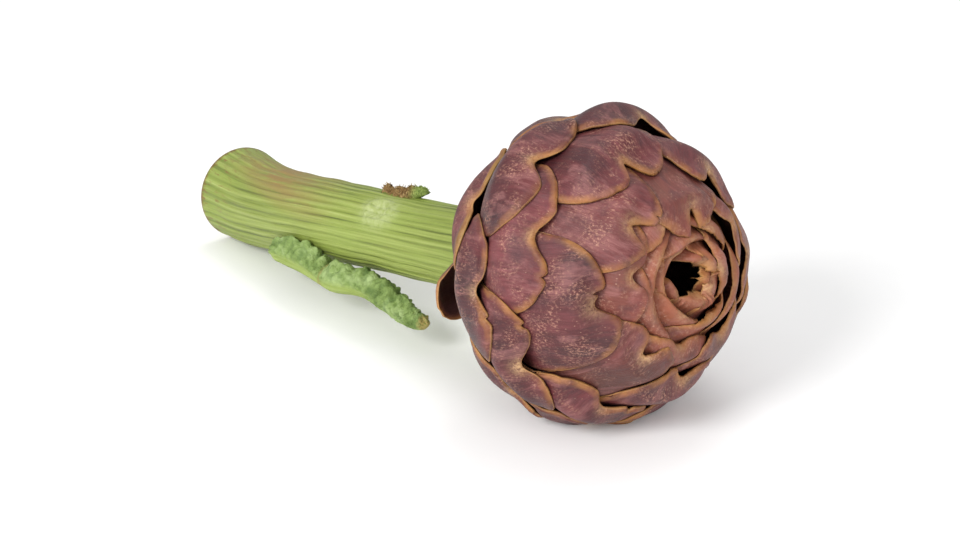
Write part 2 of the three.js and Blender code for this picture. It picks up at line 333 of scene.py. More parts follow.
def bract_material(settings):
    """Purple skin, streaked and bloomed with some painted sheen, with an ochre margin, a corky notch and
    painted shade on the inner face.
    """
    p = Painter("bract skin")
    place = p.vector("place")
    cloud = p.noise(p.stretched(place, (0.06, 0.035, 0.06)), 1.0, 3)
    streak = p.noise(p.stretched(place, (0.9, 0.05, 0.5)), 1.0, 5, 0.6)
    fine = p.noise(p.stretched(place, (3.6, 0.16, 2.0)), 1.0, 4, 0.6)
    deep, mid, pale = ((*colour, 1.0) for colour in (
        settings.deep_colour, settings.skin_colour, settings.pale_colour))
    colour = p.ramp(p.plus(p.times(cloud, 0.65), p.times(streak, 0.35)),
                    (0.37, deep), (0.51, mid), (0.65, pale))
    colour = p.mix(p.between(fine, 0.45, 0.75, 0.0, 0.2), colour, linear(132, 74, 66))
    tone = p.number("tone")
    colour = p.mix(p.between(tone, 0.0, 1.0, 0.0, 0.35), colour, linear(108, 50, 54))
    colour = p.mix(p.between(tone, 0.0, -1.0, 0.0, 0.4), colour, linear(60, 29, 32))
    # The skin reddens towards the end of the bract.
    reach = p.number("reach")
    red_share = p.times(p.between(reach, 0.72, 1.0, 0.0, 0.55), cloud)
    colour = p.mix(red_share, colour, linear(112, 42, 42))
    # The youngest bracts are pink and tan.
    young = p.times(p.number("youth"), p.between(p.noise(place, 0.12, 3), 0.3, 0.7, 0.5, 1.0))
    colour = p.mix(p.times(young, 0.72), colour, linear(166, 96, 62))
    # Waxy bloom and a painted waxy sheen lie in slanting whitish patches.
    bloom_and_sheen = p.noise(p.stretched(place, (0.16, 0.05, 0.2), 28), 1.0, 7, 0.68, 0.6)
    bloom_and_sheen_share = p.times(p.between(bloom_and_sheen, 0.52, 0.62, 0.0, 0.55), p.between(fine, 0.3, 0.6, 0.4, 1.0))
    colour = p.mix(bloom_and_sheen_share, colour, linear(152, 102, 100))
    # Fine crusty speckle, mostly over the middle of the bract.
    crust = p.noise(p.stretched(place, (1.5, 0.8, 1.0), 20), 1.0, 6, 0.75)
    crusty = p.between(p.noise(place, 0.11, 4, 0.6), 0.46, 0.64)
    crust_share = p.times(p.between(crust, 0.5, 0.6, 0.0, 0.85), crusty)
    colour = p.mix(crust_share, colour, linear(176, 128, 108))
    # Darker blotches.
    blotch = p.noise(p.stretched(place, (0.2, 0.1, 0.3), -15), 1.0, 5, 0.65)
    colour = p.mix(p.between(blotch, 0.5, 0.66, 0.0, 0.5), colour, linear(62, 32, 38))
    # Tiny pale flecks and scratches.
    fleck = p.cells(p.stretched(place, (1.3, 0.55, 1.0)), 0.85)
    rare = p.between(p.noise(place, 0.35, 2), 0.5, 0.62)
    fleck_share = p.times(p.between(fleck, 0.16, 0.07, 0.0, 0.75), rare)
    colour = p.mix(fleck_share, colour, linear(186, 146, 124))
    # The corky notch, and the ochre band along the margin.
    crumb = p.noise(place, 1.1, 5, 0.7)
    notch_share = p.times(p.number("notch"), p.between(crumb, 0.36, 0.58, 0.1, 1.0))
    colour = p.mix(notch_share, colour, linear(198, 160, 116))
    wander = p.noise(p.stretched(place, (0.22, 0.22, 0.3)), 1.0, 4, 0.65)
    margin = p.math("SUBTRACT", p.number("margin"), p.times(wander, 2.6))
    patchy = p.between(p.noise(p.stretched(place, (0.09, 0.09, 0.3)), 1.0, 3), 0.4, 0.6, 0.12, 1.0)
    band = p.times(p.between(margin, 1.4, -1.4, 0.0, 0.85), patchy)
    colour = p.mix(band, colour, linear(168, 114, 58))
    rim = p.between(p.plus(p.number("margin"), p.times(crumb, -0.5)), 0.1, -0.25, 0.0, 0.6)
    colour = p.mix(rim, colour, linear(190, 146, 90))
    green = p.times(p.number("green"), p.between(wander, 0.35, 0.6, 0.35, 1.0))
    colour = p.mix(green, colour, linear(128, 128, 52))
    # Painted shade: the inner face, which lies in shade under the bract, is painted dark, and pale again only
    # at the very edge.
    inner = p.times(p.number("inside"), p.between(p.number("margin"), 0.4, 2.2))
    colour = p.mix(p.times(inner, 0.85), colour, linear(60, 32, 34))
    height = p.plus(p.times(fine, 0.6), p.times(streak, 1.0))
    normal = p.bump(height, 0.32, 0.75)
    normal = p.bump(p.plus(p.noise(place, 2.2, 4, 0.6), p.times(crumb, notch_share)),
                    0.14, 0.6, normal)
    roughness = p.between(p.plus(cloud, bloom_and_sheen_share), 0.3, 1.0, 0.42, 0.68)
    return p.finish(colour, roughness, normal, 0.42)


# ---------------------------------------------------------------- the bracts' rule

def notch_colatitude(index):
    if index <= SHOULDER_BRACT:
        return SHOULDER_COLATITUDE + ROW_SPACING * (SHOULDER_BRACT - index)
    return max(HOLLOW_COLATITUDE, SHOULDER_COLATITUDE * math.exp(-CROWDING * (index - SHOULDER_BRACT)))


def layer_at(colatitude):
    low = SHOULDER_BRACT - (colatitude - SHOULDER_COLATITUDE) / ROW_SPACING
    high = SHOULDER_BRACT - np.log(np.maximum(colatitude, 2) / SHOULDER_COLATITUDE) / CROWDING
    return np.where(colatitude > SHOULDER_COLATITUDE, low, high)


def head_point(colatitude, angle, depth):
    c, a = np.radians(colatitude), np.radians(angle)
    across = (HEAD_RADIUS - depth) * np.sin(c)
    return np.stack([across * np.cos(a), across * np.sin(a), (HEAD_HALF_LENGTH - depth) * np.cos(c)], -1)


def flare(colatitude, angle, depth):
    turn = wrapped(angle - 285)
    low = smoothstep(colatitude, 120, 133)
    return 4.2 * low * np.exp(-((turn / 42) ** 2)) * np.clip(1 - depth / 7, 0, 1.3)


class Bract:
    """One bract's own measures, and its shape as grids over across (-1 to 1) and along (0 to 1)."""

    def __init__(self, index, settings):
        self.index = index
        self.rng = np.random.default_rng(settings.seed + 101 * index)
        turn, shift = BRACT_SHIFTS.get(index, (0, 0))
        self.angle = FIRST_BRACT_ANGLE - GOLDEN_ANGLE * index + turn
        inmost = float(smoothstep(index, 34, 46))
        lean = math.cos(math.radians(self.angle - LEANING_SIDE))
        overhang = 4.2 + 4.8 * lean + 1.8 * math.sin(2.4 * index)
        self.notch = notch_colatitude(index) + shift - inmost * overhang
        self.base = lerp(OUTER_BASE, INNER_BASE, index / (BRACT_COUNT - 1))
        self.length = self.base - self.notch
        self.thickness = settings.thickness / MM * np.clip(self.length / 36, 0.4, 1)
        self.uneven = settings.unevenness
        left, right = 1 + self.uneven * self.rng.uniform(-0.3, 0.3, 2)
        self.lobes = BRACT_LOBES.get(index, (left, right))
        self.notch_width = self.rng.uniform(0.15, 0.27)
        inner = index >= FIRST_INNER_BRACT
        columns, rows = (44, 40) if inner else (84, 62)
        if self.length < 25:
            rows = 30
        u = np.linspace(-1, 1, columns + 1)
        v = np.linspace(0, 1, rows + 1)
        self.across, self.along = np.meshgrid(np.sin(0.5 * math.pi * u), 1 - (1 - v) ** 1.4)
        self.shape_outline()

    def end(self, across):
        """The colatitude of the bract's end, from edge to edge: two lobes either side of a notch."""
        rng = self.rng
        lobe = min(LOBE_REACH * np.clip((38 - self.index) / 8, 0, 1), 0.3 * self.length)
        lobe = lobe * np.where(across < 0, self.lobes[0], self.lobes[1])
        shoulder = min(26, 0.55 * self.length) * lerp(1.0, 0.4, float(smoothstep(self.index, 27, 42)))
        roundness = 2.6 if self.index < 36 else 2.2
        share = 1 - np.exp(-((across / self.notch_width) ** 2))
        fall = 1 - (1 - np.abs(across) ** roundness) ** (1 / roundness)
        inner = np.sqrt(np.clip(1 - across ** 2, 0, 1))
        ripple = 0.5 * waves(rng, 3, 0.6, 2.6 * across) + 0.11 * waves(rng, 9, 0.2, 9 * across)
        outline = self.notch - lobe * share + shoulder * fall + self.uneven * ripple * inner
        if self.index in BRACT_SPLITS:
            middle, depth, width = BRACT_SPLITS[self.index]
            outline = outline + depth * np.exp(-((across - middle) / width) ** 2)
        return outline

    def shape_outline(self):
        self.outline = self.end(self.across[0])
        self.colatitude = lerp(self.base, self.outline[None, :], self.along)
        widening = 0.22 * np.sin(np.radians(90 * np.minimum(self.along / 0.6, 1)))
        narrowing = 0.07 * np.maximum(0, (self.along - 0.6) / 0.4)
        fan = 1 + 0.9 * float(smoothstep(self.index, 27, 42)) * smoothstep(self.along, 0.62, 0.95)
        spread = BRACT_HALF_SPREAD * (0.78 + widening - narrowing) * fan * BRACT_WIDTHS.get(self.index, 1)
        self.azimuth = self.angle + self.across * spread

    def flared(self, depth):
        share = lerp(0.85, 0.3, float(smoothstep(self.index, 4, 8)))
        return share * flare(self.colatitude, self.azimuth, depth)

    def points(self, depth):
        return head_point(self.colatitude, self.azimuth, depth - self.flared(depth))

    def measure_margin(self):
        """How far each point lies from the bract's free margin, and from its notch."""
        flat = self.points(LAYER_STEP * np.maximum(self.index - layer_at(np.abs(self.colatitude)), -2.4))
        first = int(0.25 * len(flat))
        rim = np.vstack([flat[-1], flat[first:, 0], flat[first:, -1]])
        gaps = np.linalg.norm(flat[:, :, None, :] - rim[None, None, :, :], axis=-1)
        self.margin = gaps.min(-1)
        tip = flat[-1, flat.shape[1] // 2]
        self.from_notch = np.linalg.norm(flat - tip, axis=-1)


# A map of what is outermost so far, over colatitude and azimuth, that each bract settles on.
MAP_ROWS, MAP_COLUMNS = 180, 360
DEEPEST = 24.0


def map_depths(heights, colatitude, azimuth):
    row = np.clip(colatitude - 0.5, 0, MAP_ROWS - 1.001)
    column = azimuth % 360.0
    r, c = row.astype(int), column.astype(int) % MAP_COLUMNS
    fr, fc = row - r, column - np.floor(column)
    after = (c + 1) % MAP_COLUMNS
    top = lerp(heights[r, c], heights[r, after], fc)
    bottom = lerp(heights[r + 1, c], heights[r + 1, after], fc)
    return lerp(top, bottom, fr)


def lay_on_map(heights, bract, depth):
    """Marks where the bract's outer face is now the outermost."""
    def denser(values, times=3):
        rows = np.linspace(0, values.shape[0] - 1, values.shape[0] * times)
        columns = np.linspace(0, values.shape[1] - 1, values.shape[1] * times)
        r = np.minimum(rows.astype(int), values.shape[0] - 2)
        c = np.minimum(columns.astype(int), values.shape[1] - 2)
        fr, fc = (rows - r)[:, None], (columns - c)[None, :]
        low = lerp(values[r][:, c], values[r][:, c + 1], fc)
        high = lerp(values[r + 1][:, c], values[r + 1][:, c + 1], fc)
        return lerp(low, high, fr)
    colatitude, azimuth = denser(bract.colatitude), denser(bract.azimuth)
    row = np.clip(np.round(colatitude - 0.5), 0, MAP_ROWS - 1).astype(int)
    column = np.round(azimuth).astype(int) % MAP_COLUMNS
    np.minimum.at(heights, (row, column), denser(depth))


def spread_minimum(values, reach):
    """Each value becomes the least of those within reach steps of it."""
    for axis in (0, 1):
        best = values.copy()
        for step in range(1, reach + 1):
            for direction in (-step, step):
                moved = np.roll(values, direction, axis)
                edge = [slice(None), slice(None)]
                edge[axis] = slice(0, step) if direction > 0 else slice(-step, None)
                moved[tuple(edge)] = values[tuple(edge)]
                best = np.minimum(best, moved)
        values = best
    return values


def blurred(values, passes):
    for _ in range(passes):
        padded = np.pad(values, 1, mode="edge")
        values = (padded[:-2, 1:-1] + padded[2:, 1:-1] + padded[1:-1, :-2] + padded[1:-1, 2:]
                  + 2 * values) / 6
    return values


def apartness(bract):
    """How far the bract stands off what it covers: most round the far side of the tip."""
    turn = wrapped(bract.angle - 95)
    return math.exp(-((turn / 66) ** 2)) * float(smoothstep(bract.index, 17, 26))


def settle(bract, heights, settings):
    """The bract's outer and inner faces, its end bowed down onto what lies under it."""
    rng, x, s = bract.rng, bract.across, bract.along
    rule = LAYER_STEP * np.maximum(bract.index - layer_at(np.abs(bract.colatitude)), -2.4)
    rule = rule + 2.2 * smoothstep(np.abs(bract.colatitude), 26, 4)
    row = ROW_SPACING if bract.notch > SHOULDER_COLATITUDE else max(1.0, CROWDING * bract.notch)
    back = (bract.colatitude - bract.notch) / row
    crown = settings.crown / MM * (1 - x ** 2) ** 0.8 * np.exp(-((back - 2.6) / 3.4) ** 2)
    crown = crown * (row / ROW_SPACING) ** 0.3
    lumps = 0.32 * bract.uneven * waves(rng, 5, 0.7, 2.6 * x, 3.2 * s)
    rim_round = np.sqrt(1 - (1 - np.clip(bract.margin / 2.4, 0, 1)) ** 2)
    thickness = bract.thickness * rim_round * lerp(1.25, 0.75, smoothstep(s, 0.4, 1))
    depth = rule + bract.thickness * x ** 2 - crown + lumps * smoothstep(s, 0.05, 0.4)
    beneath = map_depths(heights, bract.colatitude, bract.azimuth)
    bed = blurred(spread_minimum(beneath, 2), 6)
    bed = np.minimum(bed, beneath)
    apart = apartness(bract)
    standing = apart * lerp(0.4, 0.9, float(smoothstep(bract.index, 24, 32)))
    standing *= lerp(1.0, 0.25, float(smoothstep(bract.index, 41, 46)))
    hug = smoothstep(back, 3.2, -1.0) * (1 - standing)
    hug = np.maximum(hug, 0.8 * smoothstep(np.abs(x), 0.55, 1) * smoothstep(s, 0.3, 0.6) * (1 - standing))
    flared = bract.flared(depth)
    hug = hug * (1 - np.clip(flared / 3, 0, 1)) * settings.hug
    target = np.clip(bed - thickness - 0.16, depth, depth + 4.6)
    depth = lerp(depth, target, hug)
    depth = depth - 0.5 * standing * smoothstep(s, 0.55, 1)
    depth = depth + 0.35 * bract.thickness * (1 - rim_round)
    # The very edge rolls outwards a little along some of the margin.
    roll = np.clip(waves(rng, 4, 0.5, 4 * x), 0, 1.2)
    depth = depth - 0.35 * roll * np.exp(-((bract.margin - 0.8) / 1.0) ** 2) * smoothstep(s, 0.4, 0.8)
    room = beneath - 0.12
    depth = np.where(s > 0.06, np.minimum(depth, room - thickness), depth)
    inner = depth + thickness
    inner[:, 0] = depth[:, 0]
    inner[:, -1] = depth[:, -1]
    inner[-1] = depth[-1]
    return depth, inner


def bract_faces(rows, columns):
    """Faces over a bract's outer grid, its inner grid and the strip that closes its base."""
    outer = np.arange(rows * columns).reshape(rows, columns)
    inner = outer + rows * columns
    inner[:, 0], inner[:, -1], inner[-1] = outer[:, 0], outer[:, -1], outer[-1]
    quads = [np.stack([outer[:-1, :-1], outer[:-1, 1:], outer[1:, 1:], outer[1:, :-1]], -1),
             np.stack([inner[:-1, :-1], inner[1:, :-1], inner[1:, 1:], inner[:-1, 1:]], -1)]
    quads = np.concatenate([q.reshape(-1, 4) for q in quads])
    strip = np.stack([outer[0, 1:], outer[0, :-1], inner[0, :-1], inner[0, 1:]], -1)
    faces = []
    for quad in np.concatenate([quads, strip]).tolist():
        corners = []
        for corner in quad:
            if corner not in corners:
                corners.append(corner)
        if len(corners) > 2:
            faces.append(tuple(corners))
    return faces, np.unique(np.concatenate([outer.ravel(), inner.ravel()]))


def bract_object(bract, depth, inner_depth, material):
    rows, columns = bract.across.shape
    outer = bract.points(depth)
    inner = bract.points(inner_depth)
    faces, used = bract_faces(rows, columns)
    points = to_row(lean_over(np.concatenate([outer.reshape(-1, 3), inner.reshape(-1, 3)])))
    mm_across = bract.across * BRACT_HALF_SPREAD * 0.8 * np.sin(np.radians(bract.colatitude))
    mm_along = (bract.base - bract.colatitude) * 0.85
    place = np.stack([mm_across, mm_along, np.full_like(mm_across, 37.0 * bract.index)], -1)
    tone = bract.rng.uniform(-1, 1)
    reach = smoothstep(bract.colatitude - bract.notch, 22, -6)
    notch = np.exp(-((bract.from_notch / bract.rng.uniform(1.8, 3.4)) ** 2)) * bract.rng.uniform(0.4, 1)
    youth = float(smoothstep(bract.index, 24, 44))
    green = 0.7 * float(smoothstep(bract.index, 9, 4)) * smoothstep(bract.colatitude - bract.notch, 0, -8)
    both = {
        "green": green,
        "margin": bract.margin, "reach": reach, "notch": notch,
        "tone": np.full_like(mm_across, tone), "youth": np.full_like(mm_across, youth),
    }
    values = {title: np.concatenate([v.ravel(), v.ravel()])[used] for title, v in both.items()}
    values["place"] = np.concatenate([place.reshape(-1, 3)] * 2)[used]
    values["inside"] = (used >= rows * columns).astype(float)
    new_index = np.full(2 * rows * columns, -1)
    new_index[used] = np.arange(len(used))
    faces = [tuple(int(new_index[corner]) for corner in face) for face in faces]
    name = f"skin_bract_{bract.index:02d}"
    made = mesh_object(name, points[used], faces, values)
    made.data.materials.append(material)
    slot = "inner_bract" if bract.index >= FIRST_INNER_BRACT else "bract"
    declare(made, slot, f"bract_{bract.index:02d}")
    return made


def build_bracts(settings):
    skin = bract_material(settings)
    heights = np.full((MAP_ROWS, MAP_COLUMNS), DEEPEST)
    for index in reversed(range(BRACT_COUNT)):
        bract = Bract(index, settings)
        bract.measure_margin()
        depth, inner = settle(bract, heights, settings)
        lay_on_map(heights, bract, depth)
        bract_object(bract, depth, inner, skin)


# ---------------------------------------------------------------- stem and heart

def stem_rings():
    """Centres, sideways and upward directions and radii, from the cut end up into the heart."""
    shares = np.linspace(1, 0, 150)
    rows, slopes = catmull_rom(STEM_PATH, shares)
    side = np.cross(np.array([0, 0, 1.0]), slopes)
    side /= np.linalg.norm(side, axis=1)[:, None]
    up = np.cross(slopes, side)
    return rows[:, :3], side, up, rows[:, 3]


def heart_profile():
    profile = [(14.1, -46.0), (14.2, -41.5), (15.6, -38.6)]
    for index in range(0, BRACT_COUNT, 4):
        base = lerp(OUTER_BASE, INNER_BASE, index / (BRACT_COUNT - 1))
        depth = LAYER_STEP * (index - float(layer_at(np.array(base))))
        x, _, z = head_point(np.array(base), np.array(0.0), np.array(depth))
        profile.append((x - 1.3, z - 0.78))
    rim = profile[-1]
    profile += [(rim[0] - 2.2, rim[1] + 0.4), (0.5 * rim[0], rim[1])]
    return np.array(profile)


def build_stem(settings):
    around = 24 * 9
    centres, side, up, radii = stem_rings()
    turn = 2 * math.pi * np.arange(around) / around
    body = (centres[:, None, :]
            + radii[:, None, None] * (side[:, None, :] * np.cos(turn)[None, :, None]
                                      + up[:, None, :] * np.sin(turn)[None, :, None]))
    length = np.concatenate([[0], np.cumsum(np.linalg.norm(np.diff(centres, axis=0), axis=1))])
    # The cut face: rings that close in on its middle, sunk a little in the pith.
    normal = np.cross(side[0], up[0])
    cut_rings = []
    cut_radii = [0.12, 0.3, 0.48, 0.64, 0.78, 0.88, 0.94, 0.975]
    for share in cut_radii:
        sink = 0.9 * (1 - smoothstep(share, 0.55, 0.9)) + 0.35 * math.sin(9 * share)
        ring = centres[0] + (body[0] - centres[0]) * share + normal * sink * 0.8
        cut_rings.append(ring)
    axis_points = []
    for radius, z in heart_profile():
        local = np.stack([-radius * np.sin(turn), radius * np.cos(turn), np.full(around, z)], -1)
        axis_points.append(lean_over(local))
    heart = np.array(axis_points)
    # The heart's rings start where the stem's last ring does, so that the tube doesn't twist.
    offset = int(np.argmin(np.linalg.norm(heart[0] - body[-1][0], axis=1)))
    heart = np.roll(heart, -offset, axis=1)
    if np.linalg.norm(heart[0][9] - body[-1][9]) > np.linalg.norm(heart[0][-9] - body[-1][9]):
        heart = np.roll(heart[:, ::-1], 1, axis=1)
    rings = np.concatenate([np.array(cut_rings), body, heart])
    count = len(rings)
    tips = np.array([centres[0] + normal * 0.8, heart[-1].mean(0)])
    rng = np.random.default_rng(settings.seed)
    past_stem = length[-1] + 2 + np.arange(len(heart)) * 3
    along_mm = np.concatenate([np.full(len(cut_rings), -1.0), length, past_stem])
    lump = 0.16 * waves(rng, 6, 0.6, 0.09 * along_mm[:, None],
                        2 * np.cos(turn)[None, :], 2 * np.sin(turn)[None, :])
    flesh = np.concatenate([np.zeros(len(cut_rings)), smoothstep(length, 0.0, 1.2), np.zeros(len(heart))])
    flesh[-len(heart):][:3] = 0.5
    outward = rings - rings.mean(1)[:, None, :]
    outward /= np.linalg.norm(outward, axis=-1)[..., None]
    from_scar = np.linalg.norm((rings - np.array(SCAR)) * (0.75, 1, 1), axis=-1)
    lump = lump + 1.0 * np.exp(-((from_scar - 4.0) / 1.1) ** 2) - 0.5 * np.exp(-((from_scar / 2.4) ** 2))
    rings = rings + outward * (lump * flesh[:, None])[..., None]
    points = np.concatenate([rings.reshape(-1, 3), tips])
    faces = ring_faces(count, around)
    grid_turn = np.broadcast_to(turn, (count, around))
    radius = np.concatenate([cut_radii, np.ones(count - len(cut_radii))])
    place = np.stack([radius[:, None] * np.cos(grid_turn) * 14, radius[:, None] * np.sin(grid_turn) * 14,
                      np.broadcast_to(along_mm[:, None], grid_turn.shape)], -1).reshape(-1, 3)
    values = {
        "place": np.concatenate([place, [(0, 0, -1), (0, 0, 90)]]),
        "turn": np.concatenate([grid_turn.ravel(), [0, 0]]),
        "flesh": np.concatenate([np.repeat(flesh, around), [0, 0]]),
        "scar": np.concatenate([np.exp(-((from_scar / 6.3) ** 4)).ravel(), [0, 0]]),
        "cut": np.concatenate([np.repeat((np.arange(count) < len(cut_radii)).astype(float), around), [1, 0]]),
        "radial": np.concatenate([np.repeat(radius, around), [0, 0]]),
        "outward": np.concatenate([outward.reshape(-1, 3), [(0, 0, 0), (0, 0, 0)]]),
    }
    piece = mesh_object("stem_skin", to_row(points), faces, values)
    fix_normals(piece)
    material = stem_material(settings)
    piece.data.materials.append(material)
    tree, sockets = rib_tree()
    run_nodes(piece, tree, sockets, {
        "Rib count": settings.rib_count, "Rib height": settings.rib_height,
        "Furrow height": settings.furrow_height, "Material": material,
    })
    flatten_floor(piece)
    declare(piece, "stem", "stem_and_heart")
    return piece


def fix_normals(piece):
    """Turns the faces outwards."""
    work = bmesh.new()
    work.from_mesh(piece.data)
    bmesh.ops.recalc_face_normals(work, faces=work.faces)
    work.to_mesh(piece.data)
    work.free()


def flatten_floor(piece):
    """Whatever dips under the surface is flattened against it."""
    count = len(piece.data.vertices)
    places = np.empty(count * 3, np.float32)
    piece.data.vertices.foreach_get("co", places)
    places = places.reshape(-1, 3)
    places[:, 2] = np.maximum(places[:, 2], 0.0)
    piece.data.vertices.foreach_set("co", places.ravel())
    piece.data.update()


class TreeMaker(Nodes):
    """Builds a geometry node tree with named inputs."""

    def __init__(self, name, inputs):
        self.tree = bpy.data.node_groups.new(name, "GeometryNodeTree")
        face = self.tree.interface
        face.new_socket(name="Geometry", in_out="INPUT", socket_type="NodeSocketGeometry")
        face.new_socket(name="Geometry", in_out="OUTPUT", socket_type="NodeSocketGeometry")
        self.sockets = {}
        for title, kind in inputs.items():
            socket = face.new_socket(name=title, in_out="INPUT", socket_type=kind)
            self.sockets[title] = socket.identifier
        self.start = self.tree.nodes.new("NodeGroupInput").outputs
        self.end = self.tree.nodes.new("NodeGroupOutput").inputs

    def number(self, name, kind="FLOAT"):
        return self.node("GeometryNodeInputNamedAttribute", {"Name": name}, data_type=kind).outputs[0]

    def vector(self, name):
        return self.number(name, "FLOAT_VECTOR")

    def noise(self, vector, scale, detail, output=0):
        made = self.node("ShaderNodeTexNoise", {"Vector": vector, "Scale": scale, "Detail": detail})
        return made.outputs[output]

    def along(self, vector, height):
        return self.node("ShaderNodeVectorMath", {0: vector, "Scale": height}, operation="SCALE").outputs[0]

    def stored(self, name, value):
        return self.node("GeometryNodeStoreNamedAttribute", {
            "Geometry": self.start["Geometry"], "Name": name, "Value": value},
            data_type="FLOAT", domain="POINT").outputs[0]

    def finish(self, geometry):
        real = self.node("GeometryNodeRealizeInstances", {"Geometry": geometry}).outputs[0]
        coat = self.node("GeometryNodeSetMaterial", {"Geometry": real, "Material": self.start["Material"]})
        self.tree.links.new(coat.outputs[0], self.end["Geometry"])
        return self.tree, self.sockets


def run_nodes(piece, tree, sockets, values):
    """Applies a node tree to the piece, and leaves it a plain mesh."""
    modifier = piece.modifiers.new("shape", "NODES")
    modifier.node_group = tree
    for title, value in values.items():
        modifier[sockets[title]] = value
    graph = bpy.context.evaluated_depsgraph_get()
    made = bpy.data.meshes.new_from_object(piece.evaluated_get(graph), preserve_all_data_layers=True,
                                           depsgraph=graph)
    piece.modifiers.remove(modifier)
    made.name = piece.name
    piece.data = made


def rib_tree():
    """Ribs and finer furrows that run along the stem."""
    t = TreeMaker("stem ribs", {
        "Rib count": "NodeSocketInt", "Rib height": "NodeSocketFloat", "Furrow height": "NodeSocketFloat",
        "Material": "NodeSocketMaterial",
    })
    place = t.vector("place")

    def stretched(scale):
        return t.node("ShaderNodeVectorMath", {0: place, 1: scale}, operation="MULTIPLY").outputs[0]
    wander = t.noise(stretched((0.1, 0.1, 0.009)), 1.0, 2.0)
    turn = t.plus(t.number("turn"), t.times(wander, 0.22))
    rib = t.math("SINE", t.times(turn, t.start["Rib count"]), 0.0)
    furrow = t.noise(stretched((1.15, 1.15, 0.011)), 1.0, 2.5)
    swell = t.noise(stretched((0.1, 0.1, 0.009)), 4.0, 1.0)
    rib = t.times(rib, t.times(swell, 1.6))
    height = t.plus(t.times(rib, t.start["Rib height"]),
                    t.times(t.math("SUBTRACT", furrow, 0.5), t.start["Furrow height"]))
    offset = t.along(t.vector("outward"), t.times(height, t.number("flesh")))
    moved = t.node("GeometryNodeSetPosition", {"Geometry": t.stored("rib", rib), "Offset": offset})
    return t.finish(moved.outputs[0])


def stem_material(settings):
    p = Painter("stem skin")
    place = p.vector("place")
    rib = p.between(p.number("rib"), -1.0, 1.0)
    cloud = p.noise(p.stretched(place, (0.09, 0.09, 0.03)), 1.0, 4)
    fibre = p.noise(p.stretched(place, (0.95, 0.95, 0.016)), 1.0, 6, 0.62)
    colour = p.ramp(p.plus(p.times(rib, 0.22), p.times(fibre, 0.78)),
                    (0.33, linear(74, 86, 26)), (0.46, linear(124, 138, 56)), (0.7, linear(156, 168, 90)))
    colour = p.mix(p.between(cloud, 0.4, 0.7, 0.0, 0.5), colour, linear(138, 156, 74))
    colour = p.mix(p.between(fibre, 0.62, 0.74, 0.0, 0.45), colour, linear(174, 186, 112))
    # A brown graze runs along the top, and flecks gather towards the cut end.
    row = p.node("ShaderNodeTexCoord").outputs["Object"]
    parts = p.node("ShaderNodeSeparateXYZ", {0: row})
    on_top = p.between(parts.outputs[2], 0.0285, 0.0345)
    far = p.between(parts.outputs[0], -0.035, -0.075)
    near = p.between(parts.outputs[0], -0.112, -0.095)
    grain = p.noise(p.stretched(place, (0.4, 0.4, 0.05)), 1.0, 5, 0.7)
    graze = p.times(p.times(on_top, far), p.times(near, p.between(grain, 0.3, 0.5)))
    colour = p.mix(p.times(graze, 0.85), colour, linear(142, 112, 66))
    fleck = p.noise(p.stretched(place, (0.9, 0.9, 0.16)), 1.0, 5, 0.75)
    by_cut = p.between(p.node("ShaderNodeSeparateXYZ", {0: place}).outputs[2], 26.0, 0.0)
    spots = p.times(p.between(fleck, 0.55, 0.62), p.plus(by_cut, 0.08))
    colour = p.mix(p.times(spots, 0.9), colour, linear(120, 84, 44))
    rim = p.between(p.node("ShaderNodeSeparateXYZ", {0: place}).outputs[2], 1.6, 0.2)
    rim = p.times(rim, p.between(grain, 0.35, 0.55))
    colour = p.mix(p.times(rim, 0.8), colour, linear(116, 74, 40))
    scarred = p.times(p.number("scar"), p.between(p.noise(place, 0.7, 4, 0.7), 0.34, 0.6, 0.15, 0.7))
    colour = p.mix(scarred, colour, linear(178, 186, 134))
    # The cut face: pale pith, a ring of fibres and a browned edge.
    radial = p.number("radial")
    pith = p.mix(p.between(p.noise(place, 0.5, 5, 0.65), 0.35, 0.65),
                 linear(204, 208, 158), linear(178, 186, 120))
    bundle = p.cells(place, 0.42)
    ringed = p.times(p.between(bundle, 0.34, 0.16), p.between(radial, 0.5, 0.66))
    pith = p.mix(p.times(ringed, 0.7), pith, linear(140, 132, 74))
    pith = p.mix(p.between(radial, 0.9, 0.98, 0.0, 0.7), pith, linear(128, 96, 52))
    colour = p.mix(p.number("cut"), colour, pith)
    normal = p.bump(p.plus(fibre, p.times(p.noise(place, 1.6, 4), 0.5)), 0.5, 0.7)
    roughness = p.between(cloud, 0.3, 0.7, 0.42, 0.6)
    return p.finish(colour, roughness, normal, 0.45)


# ---------------------------------------------------------------- leaf, torn base and choke

